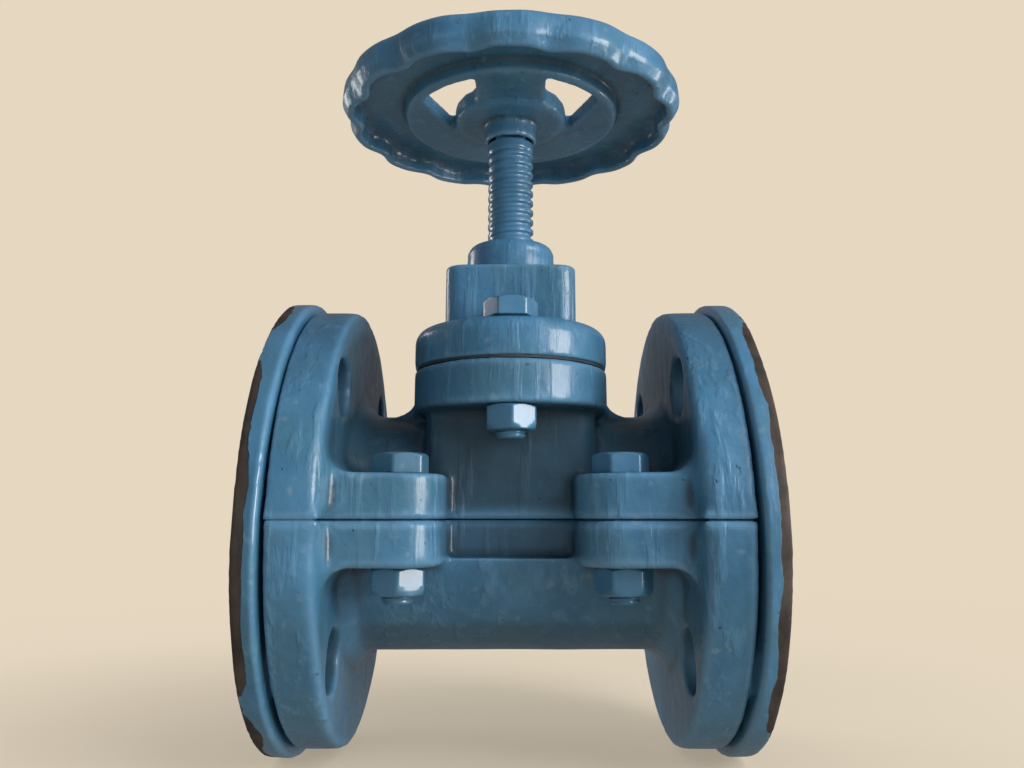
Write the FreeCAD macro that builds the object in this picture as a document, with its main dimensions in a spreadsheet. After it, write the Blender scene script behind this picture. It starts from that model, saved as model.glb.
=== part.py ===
import FreeCAD, Part
import math
import os
import re
import Sketcher
from FreeCAD import Placement, Rotation, Vector

# A flanged pinch valve. X runs along the pipe, Z up the stem, and the origin is the
# centre of the bore on the plane where the two body halves meet. Millimetres throughout.
SIZES = {
    # end flanges, drilled for a 2 inch class 150 pipe flange
    "flange_radius": 76.2,
    "flange_inner_x": 55.0,
    "flange_outer_x": 70.5,
    "bolt_circle_radius": 60.325,
    "flange_hole_radius": 9.525,
    "root_cone": 6.0,
    "joint_gap": 0.3,
    "beyond": 200.0,
    # rubber sleeve
    "sleeve_half_length": 79.0,
    "sleeve_ring_radius": 78.6,
    "sleeve_bore_radius": 21.5,
    "sleeve_outer_radius": 28.5,
    "sleeve_seat_radius": 28.7,
    # body tubes and the chamber inside them
    "upper_tube_radius": 37.5,
    "lower_tube_radius": 45.0,
    "upper_chamber_radius": 32.0,
    "lower_chamber_radius": 39.5,
    "chamber_half_length": 43.0,
    "band_half_width": 38.0,
    "band_cavity_half_width": 33.0,
    "band_depth": 12.0,
    "anvil_radius": 10.0,
    "anvil_half_width": 30.0,
    "anvil_top": -28.8,
    # split-line lugs
    "lug_x": 34.5,
    "lug_y": 53.0,
    "lug_radius": 14.0,
    "lug_root_y": 29.0,
    "lug_thickness": 14.0,
    "lug_cove": 7.0,
    # neck and oval top flange of the upper half
    "neck_half_x": 29.0,
    "neck_half_y": 36.0,
    "neck_corner": 7.0,
    "neck_cavity_half_x": 23.0,
    "neck_cavity_half_y": 31.0,
    "neck_cavity_corner": 3.0,
    "oval_radius": 34.0,
    "oval_centre_y": 22.0,
    "top_flange_low": 36.5,
    "top_flange_high": 51.0,
    "shoulder_cove": 9.0,
    "shoulder_half_width": 13.0,
    "gasket_thickness": 0.8,
    # bonnet
    "bonnet_flange_high": 65.5,
    "bonnet_edge_round": 5.0,
    "housing_half_x": 23.0,
    "housing_half_y": 35.0,
    "housing_corner": 6.0,
    "housing_high": 88.0,
    "bonnet_cavity_radius": 19.8,
    "bonnet_cavity_high": 66.5,
    "bonnet_bolt_y": 46.0,
    # threaded bush, wiper and collar round the stem
    "bush_radius": 14.0,
    "bush_low": 66.8,
    "bush_high": 84.5,
    "collar_spigot_radius": 15.5,
    "collar_low": 85.0,
    "collar_radius": 17.0,
    "collar_shoulder_high": 98.0,
    "collar_top_radius": 14.0,
    "collar_high": 104.0,
    "wiper_radius": 12.0,
    "wiper_thickness": 4.0,
    # stem
    "stem_radius": 9.0,
    "stem_running_gap": 0.1,
    "thread_root_radius": 7.0,
    "thread_pitch": 4.0,
    "thread_low": 63.0,
    "thread_length": 82.0,
    "thread_clearance": 0.25,
    "groove_floor_half": 0.65,
    "groove_mouth_half": 1.35,
    "bush_groove_tip_half": 0.75,
    "stem_neck_radius": 6.2,
    "button_radius": 9.5,
    "button_low": 50.5,
    "button_high": 56.4,
    "square_side": 12.0,
    "stud_radius": 6.0,
    "stem_top": 187.0,
    # compressor and what holds the stem in it
    "nose_radius": 9.0,
    "nose_low": 28.8,
    "nose_half_width": 30.2,
    "guide_half_x": 22.4,
    "guide_half_y": 30.4,
    "guide_low": 41.0,
    "guide_high": 48.0,
    "boss_radius": 17.5,
    "boss_high": 56.5,
    "pocket_radius": 9.9,
    "pocket_low": 48.5,
    "washer_radius": 9.4,
    "retainer_high": 60.5,
    "retainer_screw_x": 13.2,
    "retainer_screw_radius": 2.0,
    "retainer_head_radius": 3.5,
    "retainer_head_height": 2.6,
    "retainer_screw_low": 50.0,
    # handwheel
    "hub_low": 148.3,
    "hub_radius": 10.4,
    "hub_face": 156.3,
    "hub_boss_radius": 22.3,
    "hub_high": 171.5,
    "hub_top_radius": 15.0,
    "web_radius": 43.0,
    "web_low": 157.8,
    "web_high": 164.5,
    "rim_low": 155.5,
    "plate_low": 163.5,
    "plate_high": 168.5,
    "plate_bore_radius": 39.0,
    "rim_base_radius": 60.0,
    "lobe_centre": 48.7,
    "lobe_radius": 20.0,
    "rim_wall": 5.4,
    "channel_radius": 56.0,
    "window_spoke_half": 13.0,
    "window_outer_radius": 38.8,
    "window_front_y": -45.0,
    "window_corner_x": 45.6,
    "window_side_x": 22.9,
    "window_side_y": 9.6,
    # fasteners
    "bolt_radius": 5.0,
    "bolt_hole_radius": 5.5,
    "nut_bore_radius": 5.1,
    "hex_radius": 9.24,
    "bolt_head_height": 6.4,
    "nut_height": 8.4,
    "bolt_tail": 2.5,
    "wheel_washer_radius": 12.5,
    "wheel_washer_thickness": 2.5,
    "wheel_nut_hex_radius": 10.6,
    "wheel_nut_height": 10.5,
}
LOBE_COUNT = 14
FRONT_ANGLE = -90.0
WHEEL_NUT_TURN = 12.0
SIDES = (-1, 1)
TURNS = {
    "X": Rotation(Vector(0, 1, 0), 90),
    "Y": Rotation(Vector(1, 0, 0), -90),
    "Z": Rotation(),
}

doc = FreeCAD.newDocument("pinch_valve")
sheet = doc.addObject("Spreadsheet::Sheet", "sizes")
for row, (alias, value) in enumerate(SIZES.items(), start=1):
    sheet.set("A%d" % row, alias)
    sheet.set("B%d" % row, str(value))
    sheet.setAlias("B%d" % row, alias)
doc.recompute()


def from_sheet(text):
    """The expression with each word that is an alias read from the sheet."""
    def with_sheet(match):
        word = match.group(0)
        return "sizes." + word if word in SIZES else word
    return re.sub(r"[a-z][a-z_]+", with_sheet, str(text))


def bind(feature, **texts):
    for name, text in texts.items():
        feature.setExpression(name, from_sheet(text))
    return feature


def place(feature, base, axis="Z", turn=0.0):
    """Stand the feature's own Z along the axis, with its start at the base point."""
    spin = Rotation(Vector(0, 0, 1), turn)
    feature.Placement = Placement(Vector(), TURNS[axis] * spin)
    for letter, text in zip("xyz", base):
        feature.setExpression("Placement.Base." + letter, from_sheet(text))
    return feature


def cylinder(name, radius, start, length, axis="Z"):
    rod = doc.addObject("Part::Cylinder", name)
    bind(rod, Radius=radius, Height=length)
    return place(rod, start, axis)


def cone(name, start_radius, end_radius, start, length, axis="Z"):
    frustum = doc.addObject("Part::Cone", name)
    bind(frustum, Radius1=start_radius, Radius2=end_radius, Height=length)
    return place(frustum, start, axis)


def box(name, low, high):
    block = doc.addObject("Part::Box", name)
    for side, near, far in zip(("Length", "Width", "Height"), low, high):
        block.setExpression(side, from_sheet("(%s) - (%s)" % (far, near)))
    return place(block, low)


def hexagon(name, radius, start, height, turn=0.0):
    prism = doc.addObject("Part::Prism", name)
    prism.Polygon = 6
    bind(prism, Circumradius=radius, Height=height)
    return place(prism, start, "Z", turn)


def fuse(name, *shapes):
    union = doc.addObject("Part::MultiFuse", name)
    union.Shapes = list(shapes)
    union.Refine = True
    return union


def common(name, *shapes):
    overlap = doc.addObject("Part::MultiCommon", name)
    overlap.Shapes = list(shapes)
    return overlap


def cut(name, base, *tools):
    remainder = doc.addObject("Part::Cut", name)
    remainder.Base = base
    remainder.Tool = tools[0] if len(tools) == 1 else fuse(name + "_cutter", *tools)
    remainder.Refine = True
    return remainder


def rounded_block(name, half_x, half_y, corner, low, high):
    """A block centred on Z whose four upright edges are round."""
    inner_x = "%s - %s" % (half_x, corner)
    inner_y = "%s - %s" % (half_y, corner)
    height = "(%s) - (%s)" % (high, low)
    pieces = [
        box(name + "_long", ("-(%s)" % inner_x, "-" + half_y, low), (inner_x, half_y, high)),
        box(name + "_wide", ("-" + half_x, "-(%s)" % inner_y, low), (half_x, inner_y, high)),
    ]
    for side in SIDES:
        for face in SIDES:
            start = ("%d * (%s)" % (side, inner_x), "%d * (%s)" % (face, inner_y), low)
            pieces.append(cylinder(name + "_corner", corner, start, height))
    return fuse(name, *pieces)


def oval(name, radius, low, high):
    """An oval plate with round ends at the front and the back."""
    height = "(%s) - (%s)" % (high, low)
    near, far = ("-(%s)" % radius, "-oval_centre_y", low), (radius, "oval_centre_y", high)
    pieces = [box(name + "_middle", near, far)]
    for face in SIDES:
        pieces.append(cylinder(name + "_end", radius, ("0", "%d * oval_centre_y" % face, low), height))
    return fuse(name, *pieces)


def role_plane(body, role):
    return next(item for item in body.Origin.OriginFeatures if item.Role == role)


def outline(body, name, points, plane="XZ_Plane"):
    """A closed sketch of straight lines whose corners are held by the sheet."""
    sketch = body.newObject("Sketcher::SketchObject", name)
    sketch.AttachmentSupport = [(role_plane(body, plane), "")]
    sketch.MapMode = "FlatFace"
    count = len(points)
    ring = [2.0 * math.pi * i / count for i in range(count)]
    corners = [Vector(100 + 50 * math.cos(a), 50 * math.sin(a), 0) for a in ring]
    for i in range(count):
        sketch.addGeometry(Part.LineSegment(corners[i], corners[(i + 1) % count]), False)
    for i in range(count):
        sketch.addConstraint(Sketcher.Constraint("Coincident", i, 2, (i + 1) % count, 1))
    for i, pair in enumerate(points):
        for kind, text in zip(("DistanceX", "DistanceY"), pair):
            start = corners[i].x if kind == "DistanceX" else corners[i].y
            index = sketch.addConstraint(Sketcher.Constraint(kind, -1, 1, i, 1, start))
            sketch.setExpression("Constraints[%d]" % index, from_sheet(text))
    return sketch


def revolved(name, points, axis="V_Axis"):
    """A body turned from an outline of (radius, height) about Z, or (x, radius) about X."""
    body = doc.addObject("PartDesign::Body", name)
    sketch = outline(body, name + "_outline", points)
    turn = body.newObject("PartDesign::Revolution", name + "_turned")
    turn.Profile = sketch
    turn.ReferenceAxis = (sketch, [axis])
    turn.Angle = 360.0
    sketch.Visibility = False
    body.Tip = turn
    return body


def thread_ridge(name, root_radius, tip_radius, half_root, half_tip, start, length):
    """The solid swept by one trapezoid that climbs a right-hand helix of the thread's pitch."""
    spine = doc.addObject("Part::Helix", name + "_spine")
    bind(spine, Pitch="thread_pitch", Height=length, Radius="stem_radius")
    place(spine, ("0", "0", start))
    doc.recompute()
    base = spine.Placement.Base.z
    section = doc.addObject("Part::Polygon", name + "_section")
    section.Nodes = [
        Vector(root_radius, 0, base - half_root),
        Vector(tip_radius, 0, base - half_tip),
        Vector(tip_radius, 0, base + half_tip),
        Vector(root_radius, 0, base + half_root),
    ]
    section.Close = True
    ridge = doc.addObject("Part::Sweep", name)
    ridge.Sections = [section]
    ridge.Spine = (spine, [])
    ridge.Solid = True
    ridge.Frenet = True
    return ridge


nodes = {}


def keep(name, feature):
    """Give the finished sub-part its label, which names its file."""
    feature.Label = name
    nodes[name] = feature
    return feature


def flange_hole_tools(name, faces):
    """Cutters for the pipe-bolt holes; the holes straddle the centre lines."""
    tools = []
    offset = "bolt_circle_radius * sqrt(0.5)"
    inner = "flange_inner_x - root_cone"
    for end in SIDES:
        near = inner if end > 0 else "-sleeve_half_length - 1"
        for face in faces:
            for side in SIDES:
                start = (near, "%d * %s" % (side, offset), "%d * %s" % (face, offset))
                length = "sleeve_half_length + 1 - (%s)" % inner
                tools.append(cylinder(name, "flange_hole_radius", start, length, "X"))
    return tools


def half_flanges(name, face):
    """The two end flanges with the cones at their roots, cut to one side of the split plane."""
    tube = "upper_tube_radius" if face > 0 else "lower_tube_radius"
    width = "flange_outer_x - flange_inner_x"
    left = cylinder(name + "_left", "flange_radius", ("-flange_outer_x", "0", "0"), width, "X")
    right = cylinder(name + "_right", "flange_radius", ("flange_inner_x", "0", "0"), width, "X")
    left_root = cone(name + "_left_root", tube + " + root_cone", tube,
                     ("-flange_inner_x", "0", "0"), "root_cone", "X")
    right_root = cone(name + "_right_root", tube, tube + " + root_cone",
                      ("flange_inner_x - root_cone", "0", "0"), "root_cone", "X")
    return [left, right, left_root, right_root]


def lugs(name, face):
    """Four lugs with round ends, and a hollow curve where each meets its flange."""
    pieces = []
    low, high = ("0", "lug_thickness") if face > 0 else ("-lug_thickness", "0")
    cove_centre = "%d * (lug_thickness + lug_cove)" % face
    for side in SIDES:
        near, far = ("lug_x", "flange_inner_x + 1") if side > 0 else ("-flange_inner_x - 1", "-lug_x")
        inner = "lug_x - lug_radius"
        web_near, web_far = (inner, "flange_inner_x + 1")
        if side < 0:
            web_near, web_far = ("-flange_inner_x - 1", "-(%s)" % inner)
        for front in SIDES:
            centre = ("%d * lug_x" % side, "%d * lug_y" % front, low)
            pieces.append(cylinder(name + "_end", "lug_radius", centre, "lug_thickness"))
            reach = ("lug_root_y", "lug_y + lug_radius")
            root = ("lug_root_y", "lug_y")
            if front < 0:
                reach = ("-lug_y - lug_radius", "-lug_root_y")
                root = ("-lug_y", "-lug_root_y")
            pieces.append(box(name + "_pad", (near, reach[0], low), (far, reach[1], high)))
            pieces.append(box(name + "_web", (web_near, root[0], low), (web_far, root[1], high)))
            cove_x = ("flange_inner_x - lug_cove", "flange_inner_x + 1")
            if side < 0:
                cove_x = ("-flange_inner_x - 1", "-flange_inner_x + lug_cove")
            cove_z = ("lug_thickness - 1", "lug_thickness + lug_cove")
            if face < 0:
                cove_z = ("-lug_thickness - lug_cove", "-lug_thickness + 1")
            filler_low, filler_high = zip(cove_x, reach, cove_z)
            filler = box(name + "_filler", filler_low, filler_high)
            hollow_start = ("%d * (flange_inner_x - lug_cove)" % side, reach[0] + " - 1", cove_centre)
            hollow = cylinder(name + "_hollow", "lug_cove", hollow_start,
                              "lug_y + lug_radius - lug_root_y + 2", "Y")
            pieces.append(cut(name + "_cove", filler, hollow))
    return pieces


def lug_hole_tools(name):
    tools = []
    for side in SIDES:
        for front in SIDES:
            start = ("%d * lug_x" % side, "%d * lug_y" % front, "-lug_thickness - 5")
            tools.append(cylinder(name, "bolt_hole_radius", start, "2 * lug_thickness + 10"))
    return tools


def make_upper_body():
    """Upper casting: half flanges, round tube, neck, oval top flange and lugs."""
    pieces = half_flanges("upper_flange", 1)
    pieces.append(cylinder("upper_tube", "upper_tube_radius", ("-flange_inner_x", "0", "0"),
                           "2 * flange_inner_x", "X"))
    pieces += lugs("upper_lug", 1)
    whole = fuse("upper_blank", *pieces)
    above = box("upper_half_space", ("-beyond", "-beyond", "joint_gap"), ("beyond", "beyond", "beyond"))
    half = common("upper_half", whole, above)
    neck = rounded_block("upper_neck", "neck_half_x", "neck_half_y", "neck_corner", "joint_gap",
                         "top_flange_low + 5")
    plate = oval("upper_oval", "oval_radius", "top_flange_low", "top_flange_high")
    shoulders = []
    for side in SIDES:
        far = "oval_radius + shoulder_cove"
        span = ("oval_radius - 2", far) if side > 0 else ("-(%s)" % far, "-oval_radius + 2")
        filler = box("shoulder_filler", (span[0], "-shoulder_half_width", "upper_chamber_radius + 1"),
                     (span[1], "shoulder_half_width", "top_flange_low + shoulder_cove"))
        start = ("%d * (%s)" % (side, far), "-shoulder_half_width - 1", "top_flange_low + shoulder_cove")
        hollow = cylinder("shoulder_hollow", "shoulder_cove", start, "2 * shoulder_half_width + 2", "Y")
        shoulders.append(cut("shoulder", filler, hollow))
    solid = fuse("upper_solid", half, neck, plate, *shoulders)
    tools = [
        cylinder("upper_seat", "sleeve_seat_radius", ("-flange_outer_x - 1", "0", "0"),
                 "2 * flange_outer_x + 2", "X"),
        cylinder("upper_chamber", "upper_chamber_radius", ("-chamber_half_length", "0", "0"),
                 "2 * chamber_half_length", "X"),
        rounded_block("neck_cavity", "neck_cavity_half_x", "neck_cavity_half_y", "neck_cavity_corner",
                      "0", "top_flange_high + 1"),
    ]
    for front in SIDES:
        start = ("0", "%d * bonnet_bolt_y" % front, "top_flange_low - 5")
        tools.append(cylinder("upper_bonnet_hole", "bolt_hole_radius", start, "30"))
    tools += flange_hole_tools("upper_flange_hole", (1,))
    tools += lug_hole_tools("upper_lug_hole")
    return cut("upper_casting", solid, *tools)


def make_lower_body():
    """Lower casting: half flanges, deeper tube under a recessed band, lugs and the anvil."""
    pieces = half_flanges("lower_flange", -1)
    tube = cylinder("lower_tube", "lower_tube_radius", ("-flange_inner_x", "0", "0"),
                    "2 * flange_inner_x", "X")
    below_band = box("below_band", ("-beyond", "-beyond", "-beyond"), ("beyond", "beyond", "-band_depth"))
    pieces.append(common("lower_trough", tube, below_band))
    pieces.append(box("lower_band", ("-flange_inner_x", "-band_half_width", "-band_depth - 2"),
                      ("flange_inner_x", "band_half_width", "0")))
    pieces += lugs("lower_lug", -1)
    whole = fuse("lower_blank", *pieces)
    below = box("lower_half_space", ("-beyond", "-beyond", "-beyond"), ("beyond", "beyond", "-joint_gap"))
    half = common("lower_half", whole, below)
    chamber = common(
        "lower_chamber",
        cylinder("chamber_bore", "lower_chamber_radius", ("-chamber_half_length", "0", "0"),
                 "2 * chamber_half_length", "X"),
        box("chamber_depth", ("-beyond", "-beyond", "-beyond"), ("beyond", "beyond", "-band_depth - 3")),
    )
    mouth = box("chamber_mouth", ("-chamber_half_length", "-band_cavity_half_width", "-band_depth - 4"),
                ("chamber_half_length", "band_cavity_half_width", "1"))
    seat = cylinder("lower_seat", "sleeve_seat_radius", ("-flange_outer_x - 1", "0", "0"),
                    "2 * flange_outer_x + 2", "X")
    tools = [chamber, mouth, seat]
    tools += flange_hole_tools("lower_flange_hole", (-1,))
    tools += lug_hole_tools("lower_lug_hole")
    shell = cut("lower_shell", half, *tools)
    ridge_start = ("0", "-anvil_half_width", "anvil_top - anvil_radius")
    ridge = fuse(
        "anvil_blank",
        cylinder("anvil_nose", "anvil_radius", ridge_start, "2 * anvil_half_width", "Y"),
        box("anvil_root", ("-anvil_radius", "-anvil_half_width", "-lower_tube_radius"),
            ("anvil_radius", "anvil_half_width", "anvil_top - anvil_radius")),
    )
    inside = cylinder("anvil_limit", "lower_chamber_radius + 2", ("-anvil_radius - 1", "0", "0"),
                      "2 * anvil_radius + 2", "X")
    return fuse("lower_casting", shell, common("anvil", ridge, inside))


def make_sleeve_tube():
    """Straight rubber tube between the end rings, which the compressor pinches flat."""
    bore, outside = "sleeve_bore_radius", "sleeve_outer_radius"
    return revolved("tube_turned", [
        ("-flange_outer_x", bore), ("flange_outer_x", bore),
        ("flange_outer_x", outside), ("-flange_outer_x", outside),
    ], "H_Axis")


def make_sleeve_ring(name, side):
    """Thick rubber ring outside one flange, drilled for the pipe bolts."""
    near, far = "%d * flange_outer_x" % side, "%d * sleeve_half_length" % side
    bore, ring = "sleeve_bore_radius", "sleeve_ring_radius"
    blank = revolved(name + "_blank", [(near, bore), (far, bore), (far, ring), (near, ring)], "H_Axis")
    return cut(name + "_drilled", blank, *flange_hole_tools(name + "_hole", SIDES))


def make_bonnet():
    """Bonnet: oval flange with a round top edge, and the housing for bush and collar."""
    low = "top_flange_high + gasket_thickness"
    plate = oval("bonnet_oval", "oval_radius", low, "bonnet_flange_high")
    doc.recompute()
    top = sheet.get("bonnet_flange_high")
    edges = []
    for number, edge in enumerate(plate.Shape.Edges, start=1):
        if abs(edge.BoundBox.ZMin - top) < 0.01 and abs(edge.BoundBox.ZMax - top) < 0.01:
            edges.append((number, sheet.get("bonnet_edge_round"), sheet.get("bonnet_edge_round")))
    softened = doc.addObject("Part::Fillet", "bonnet_oval_round")
    softened.Base = plate
    softened.Edges = edges
    housing = rounded_block("bonnet_housing", "housing_half_x", "housing_half_y", "housing_corner",
                            low, "housing_high")
    solid = fuse("bonnet_solid", softened, housing)
    start = ("0", "0", low + " - 1")
    tools = [
        cylinder("bonnet_cavity", "bonnet_cavity_radius", start, "bonnet_cavity_high - (%s) + 1" % low),
        cylinder("bonnet_bush_bore", "bush_radius + 0.02", start, "bush_high + 0.3 - (%s) + 1" % low),
        cylinder("bonnet_collar_bore", "collar_spigot_radius", ("0", "0", "bush_high"), "20"),
    ]
    for front in SIDES:
        hole = ("0", "%d * bonnet_bolt_y" % front, low + " - 1")
        tools.append(cylinder("bonnet_hole", "bolt_hole_radius", hole, "bonnet_flange_high"))
    return cut("bonnet_casting", solid, *tools)


def make_gasket():
    plate = oval("gasket_oval", "oval_radius - 1", "top_flange_high", "top_flange_high + gasket_thickness")
    opening = rounded_block("gasket_opening", "neck_cavity_half_x + 0.5", "neck_cavity_half_y + 0.5",
                            "neck_cavity_corner", "top_flange_high - 1", "top_flange_high + 2")
    holes = []
    for front in SIDES:
        hole = ("0", "%d * bonnet_bolt_y" % front, "top_flange_high - 1")
        holes.append(cylinder("gasket_hole", "bolt_hole_radius", hole, "5"))
    return cut("gasket", plate, opening, *holes)


def make_stem():
    """Stem: button, neck, trapezoidal thread, square for the wheel and a stud for its nut."""
    plain = cylinder("stem_shank", "stem_radius", ("0", "0", "thread_low"), "hub_low - thread_low")
    clearance = sheet.get("thread_clearance")
    groove = thread_ridge(
        "stem_groove",
        sheet.get("thread_root_radius"), sheet.get("stem_radius") + clearance,
        sheet.get("groove_floor_half"), sheet.get("groove_mouth_half"),
        "thread_low - 1.5 * thread_pitch", "thread_length + 1.5 * thread_pitch",
    )
    threaded = cut("stem_threaded", plain, groove)
    side = "square_side / 2"
    return fuse(
        "stem_whole",
        threaded,
        cylinder("stem_button", "button_radius", ("0", "0", "button_low"), "button_high - button_low"),
        cylinder("stem_neck", "stem_neck_radius", ("0", "0", "button_high - 1"),
                 "thread_low - button_high + 2"),
        box("stem_square", ("-" + side, "-" + side, "hub_low - 1"), (side, side, "hub_high - 0.5")),
        cylinder("stem_stud", "stud_radius", ("0", "0", "hub_high - 2"), "stem_top - hub_high + 2"),
    )


def make_bush():
    """Threaded bush: its grooves leave an even gap round the stem's thread."""
    blank = cylinder("bush_blank", "bush_radius", ("0", "0", "bush_low"), "bush_high - bush_low")
    bore = cylinder("bush_bore", "thread_root_radius + thread_clearance", ("0", "0", "bush_low - 1"),
                    "bush_high - bush_low + 2")
    clearance = sheet.get("thread_clearance")
    start = "thread_low - thread_pitch"
    groove = thread_ridge(
        "bush_groove",
        sheet.get("thread_root_radius"), sheet.get("stem_radius") + clearance,
        sheet.get("groove_mouth_half") + clearance, sheet.get("bush_groove_tip_half") + clearance,
        start, "bush_high - thread_low + 2.5 * thread_pitch",
    )
    return cut("bush_threaded", cut("bush_bored", blank, bore), groove)


def make_collar():
    """Collar screwed into the bonnet, with a domed shoulder and a seat for the wiper."""
    bore = "stem_radius + stem_running_gap"
    seat = "wiper_radius + 0.1"
    seat_high = "collar_low + wiper_thickness + 0.2"
    return revolved("collar_turned", [
        (bore, seat_high), (seat, seat_high), (seat, "collar_low"),
        ("collar_spigot_radius - 0.1", "collar_low"), ("collar_spigot_radius - 0.1", "housing_high"),
        ("collar_radius", "housing_high"), ("collar_radius", "collar_shoulder_high"),
        ("collar_radius - 0.6", "collar_shoulder_high + 3"), ("collar_top_radius + 0.6", "collar_high - 1"),
        ("collar_top_radius - 1", "collar_high"), (bore, "collar_high"),
    ])


def make_wiper():
    inner = "stem_radius + stem_running_gap"
    low, high = "collar_low + 0.1", "collar_low + 0.1 + wiper_thickness"
    return revolved("wiper_turned", [
        (inner, low), ("wiper_radius", low), ("wiper_radius", high), (inner, high),
    ])


def make_compressor():
    """Compressor: round nose that pinches the sleeve, guide plate, and a boss for the stem."""
    nose_z = "nose_low + nose_radius"
    start = ("0", "-nose_half_width", nose_z)
    solid = fuse(
        "compressor_solid",
        cylinder("compressor_nose", "nose_radius", start, "2 * nose_half_width", "Y"),
        box("compressor_web", ("-nose_radius", "-nose_half_width", nose_z),
            ("nose_radius", "nose_half_width", "guide_low + 1")),
        rounded_block("compressor_guide", "guide_half_x", "guide_half_y", "neck_cavity_corner",
                      "guide_low", "guide_high"),
        cylinder("compressor_boss", "boss_radius", ("0", "0", "guide_high - 1"),
                 "boss_high - guide_high + 1"),
    )
    tools = [cylinder("compressor_pocket", "pocket_radius", ("0", "0", "pocket_low"), "20")]
    for side in SIDES:
        hole = ("%d * retainer_screw_x" % side, "0", "retainer_screw_low - 0.5")
        tools.append(cylinder("compressor_tap", "retainer_screw_radius + 0.05", hole, "20"))
    return cut("compressor_cast", solid, *tools)


def make_thrust_washer():
    thickness = "button_low - pocket_low - 0.1"
    return cylinder("washer_disc", "washer_radius", ("0", "0", "pocket_low"), thickness)


def make_retainer():
    """Forked plate that slides round the stem's neck and traps its button."""
    height = "retainer_high - boss_high"
    plate = cylinder("retainer_plate", "boss_radius", ("0", "0", "boss_high"), height)
    gap = "stem_neck_radius + stem_running_gap"
    tools = [
        cylinder("retainer_eye", gap, ("0", "0", "boss_high - 1"), height + " + 2"),
        box("retainer_slot", ("-(%s)" % gap, "0", "boss_high - 1"),
            (gap, "boss_radius + 5", "retainer_high + 1")),
    ]
    for side in SIDES:
        hole = ("%d * retainer_screw_x" % side, "0", "boss_high - 1")
        tools.append(cylinder("retainer_hole", "retainer_screw_radius + 0.2", hole, height + " + 2"))
    return cut("retainer_fork", plate, *tools)


def make_retainer_screws():
    """Two cheese-head screws, each with a slot."""
    screws = []
    for side in SIDES:
        x = "%d * retainer_screw_x" % side
        shank = cylinder("retainer_shank", "retainer_screw_radius", (x, "0", "retainer_screw_low"),
                         "retainer_high - retainer_screw_low")
        head = cylinder("retainer_head", "retainer_head_radius", (x, "0", "retainer_high"),
                        "retainer_head_height")
        slot = box("retainer_head_slot", (x + " - 4", "-0.5", "retainer_high + retainer_head_height - 1.2"),
                   (x + " + 4", "0.5", "retainer_high + retainer_head_height + 1"))
        screws.append(cut("retainer_screw", fuse("retainer_blank", shank, head), slot))
    return fuse("retainer_pair", *screws)


def lobed_block(name, radius, filler, low, high):
    """A round block whose edge is a ring of overlapping discs."""
    height = "(%s) - (%s)" % (high, low)
    pieces = [cylinder(name + "_core", filler, ("0", "0", low), height)]
    for i in range(LOBE_COUNT):
        angle = math.radians(FRONT_ANGLE + 360.0 * i / LOBE_COUNT)
        start = ("lobe_centre * %.6f" % math.cos(angle), "lobe_centre * %.6f" % math.sin(angle), low)
        pieces.append(cylinder(name + "_lobe", radius, start, height))
    return fuse(name, *pieces)


def window_tool(side):
    """One window: straight beside the front spoke, slanting back to the hub's boss."""
    body = doc.addObject("PartDesign::Body", "window_prism")
    near, far = "%d * window_spoke_half" % side, "%d * window_corner_x" % side
    rear = "%d * window_side_x" % side
    points = [
        (near, "window_front_y"), (far, "window_front_y"), (rear, "window_side_y"), (near, "window_side_y"),
    ]
    sketch = outline(body, "window_outline", points, "XY_Plane")
    pad = body.newObject("PartDesign::Pad", "window_pad")
    pad.Profile = sketch
    pad.Length = 200.0
    body.Tip = pad
    reach = cylinder("window_reach", "window_outer_radius", ("0", "0", "web_low - 5"), "20")
    return common("window", body, reach)


def make_handwheel():
    """Lobed handwheel: skirt, top plate, lowered web with two windows, and a long hub."""
    rim = lobed_block("rim", "lobe_radius", "rim_base_radius", "rim_low", "plate_high")
    channel = lobed_block("channel", "lobe_radius - rim_wall", "channel_radius", "rim_low - 1", "plate_low")
    dish = cylinder("dish", "plate_bore_radius", ("0", "0", "plate_low - 1"), "20")
    web = cylinder("web", "web_radius", ("0", "0", "web_low"), "web_high - web_low")
    wheel = fuse("wheel_blank", cut("wheel_rim", rim, channel, dish), web)
    opened = cut("wheel_opened", wheel, window_tool(-1), window_tool(1))
    hub = fuse(
        "hub",
        cylinder("hub_boss", "hub_boss_radius", ("0", "0", "hub_face"), "web_high - hub_face"),
        cylinder("hub_shank", "hub_radius", ("0", "0", "hub_low"), "hub_high - hub_low"),
        cone("hub_top", "hub_boss_radius - 3", "hub_top_radius", ("0", "0", "web_high - 0.5"),
             "hub_high - web_high + 0.5"),
    )
    side = "square_side / 2 + 0.05"
    square = box("hub_square", ("-(%s)" % side, "-(%s)" % side, "hub_low - 1"),
                 (side, side, "hub_high + 1"))
    return cut("wheel_cast", fuse("wheel_solid", opened, hub), square)


def make_bolt(name, x, y, head_low, shank_low, turn):
    """A hexagon-head bolt standing on Z with its head up."""
    head = hexagon(name + "_head", "hex_radius", (x, y, head_low), "bolt_head_height", turn)
    length = "(%s) - (%s) + 1" % (head_low, shank_low)
    shank = cylinder(name + "_shank", "bolt_radius", (x, y, shank_low), length)
    return fuse(name + "_whole", head, shank)


def make_nut(name, x, y, low, turn):
    blank = hexagon(name + "_hex", "hex_radius", (x, y, low), "nut_height", turn)
    bore = cylinder(name + "_bore", "nut_bore_radius", (x, y, low + " - 1"), "nut_height + 2")
    return cut(name + "_bored", blank, bore)


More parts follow.
